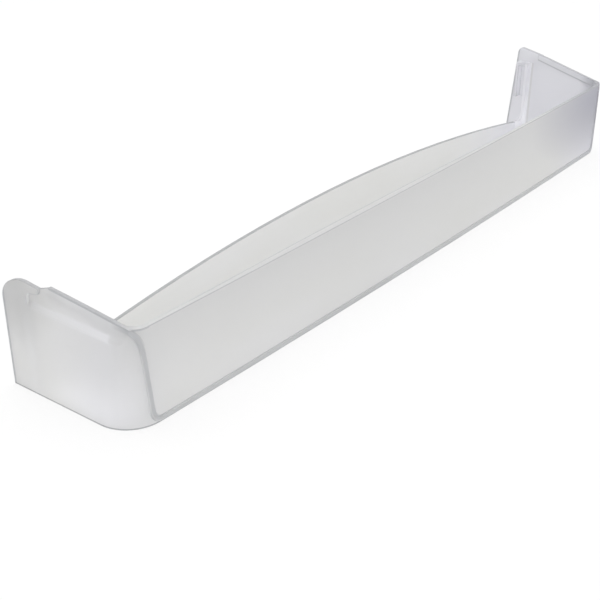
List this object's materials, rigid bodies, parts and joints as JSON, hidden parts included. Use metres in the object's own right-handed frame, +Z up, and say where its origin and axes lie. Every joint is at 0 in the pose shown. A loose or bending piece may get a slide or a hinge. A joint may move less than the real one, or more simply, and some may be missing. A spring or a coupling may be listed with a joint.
{
  "type": "refrigerator door shelf",
  "caption": "Translucent moulded refrigerator door shelf: a long shallow tray with a framed front, an arched low back and an ear at each end that hooks onto the door",
  "frame": {"origin": "on the underside of the floor, in the middle of the shelf's length and depth", "axes": "+X along the shelf, -Y faces the room (the framed front), +Y toward the door, +Z up"},
  "size_m": [0.469, 0.0776, 0.0604],
  "materials": {
    "plastic": "satin, milky translucent"
  },
  "bodies": {
    "root": {"door_shelf": "plastic"}
  },
  "joints": []
}
